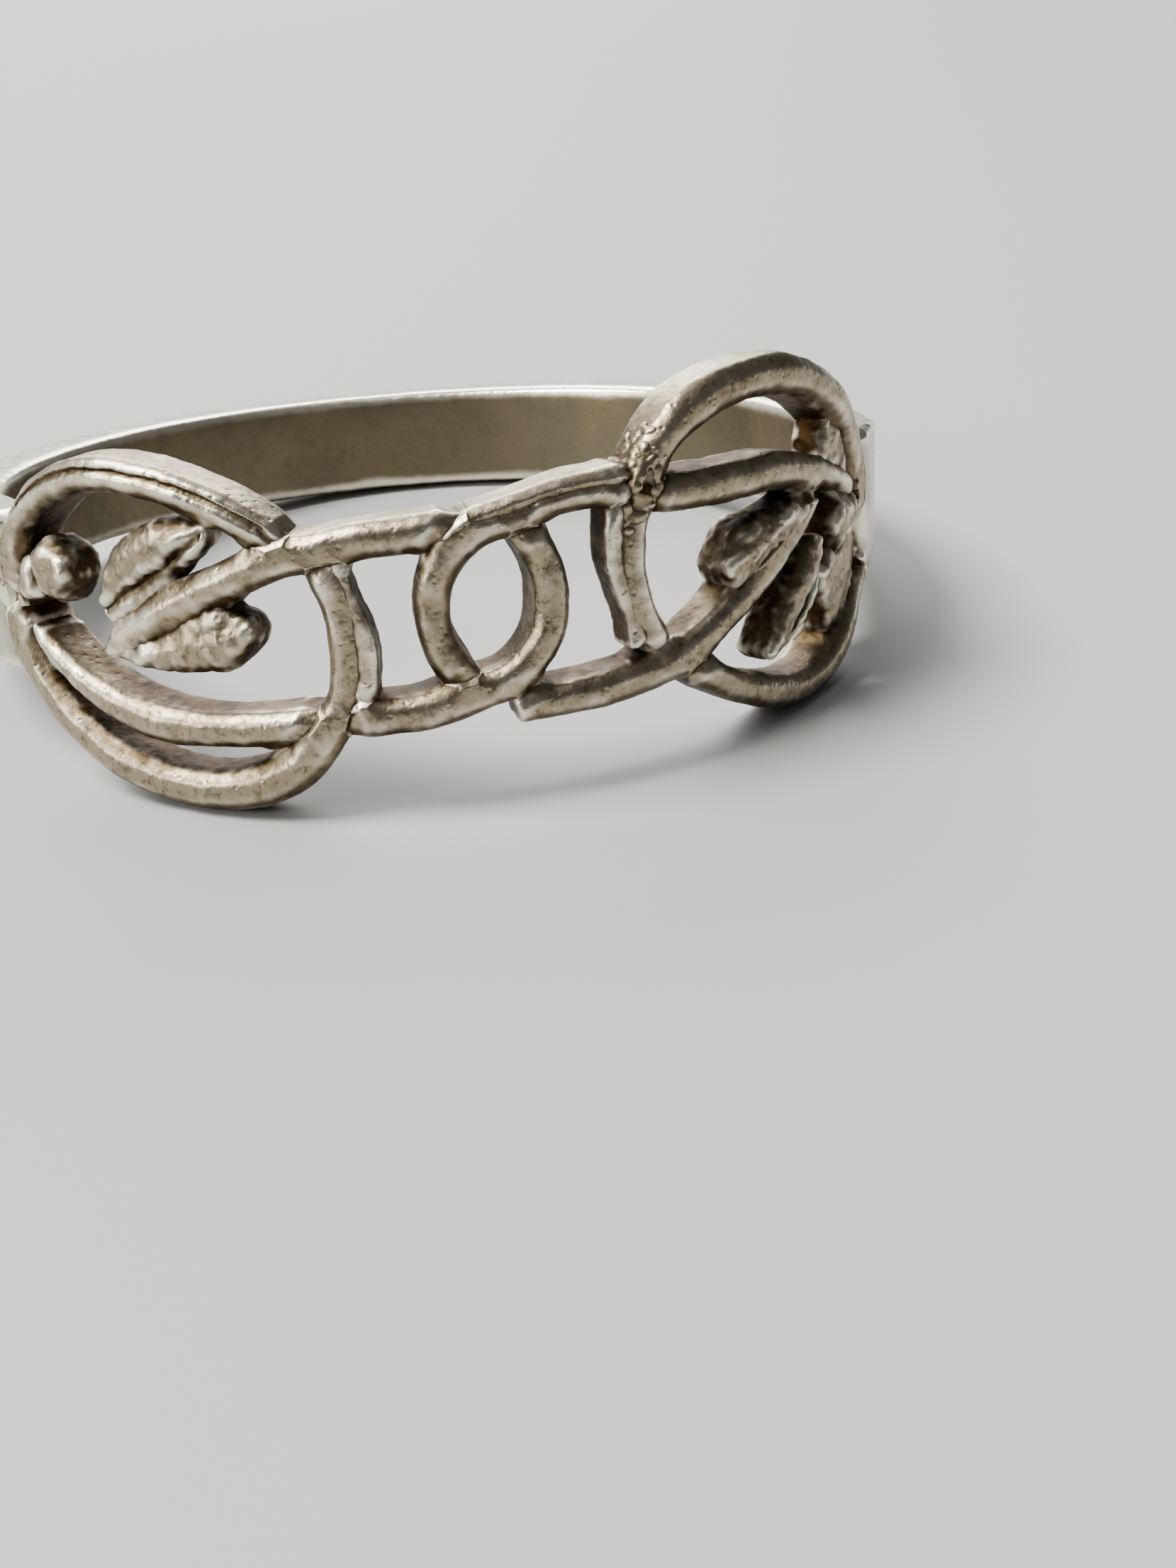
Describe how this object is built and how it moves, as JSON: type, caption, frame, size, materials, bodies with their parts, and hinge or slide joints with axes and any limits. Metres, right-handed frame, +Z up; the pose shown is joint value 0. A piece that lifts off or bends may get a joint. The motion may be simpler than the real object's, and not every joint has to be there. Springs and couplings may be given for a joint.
{
  "type": "openwork finger ring",
  "caption": "Silver finger ring: a flat band whose front opens into oval roundels of bent wirework with leaf shapes, joined by hooked wires around a small oval.",
  "frame": {"origin": "on the table, below the middle of the ring's box as it lies at rest", "axes": "+Z up from the table; the openwork front faces -Y, the plain back of the band +Y; +X to the right seen from the front. The finger hole's axis leans 7.6 degrees from +Z, along (0.024, 0.131, 0.991), because the ring rests on its roundels and the back of the band."},
  "size_m": [0.0194, 0.0196, 0.0068],
  "materials": {
    "aged_silver_wire": "aged cast silver, satin and finely pitted, bright along worn edges and dark in the recesses",
    "textured_silver": "rough-textured aged silver with dark recesses",
    "worn_silver_band": "satin silver band with a bright worn edge and light brown tarnish inside"
  },
  "bodies": {
    "root": {"shank": "worn_silver_band", "hoop_left": "aged_silver_wire", "top_arc_left": "aged_silver_wire", "companion_arc_left": "aged_silver_wire", "crescent_left": "aged_silver_wire", "stem_rail_left": "aged_silver_wire", "leaf_upper_left": "textured_silver", "leaf_lower_left": "textured_silver", "bud_left": "textured_silver", "hoop_right": "aged_silver_wire", "top_arc_right": "aged_silver_wire", "companion_arc_right": "aged_silver_wire", "crescent_right": "aged_silver_wire", "stem_rail_right": "aged_silver_wire", "leaf_upper_right": "textured_silver", "leaf_lower_right": "textured_silver", "bud_right": "textured_silver", "plate_upper_right": "aged_silver_wire", "plate_lower_right": "aged_silver_wire", "hook_lower": "aged_silver_wire", "hook_upper": "aged_silver_wire"}
  },
  "joints": []
}
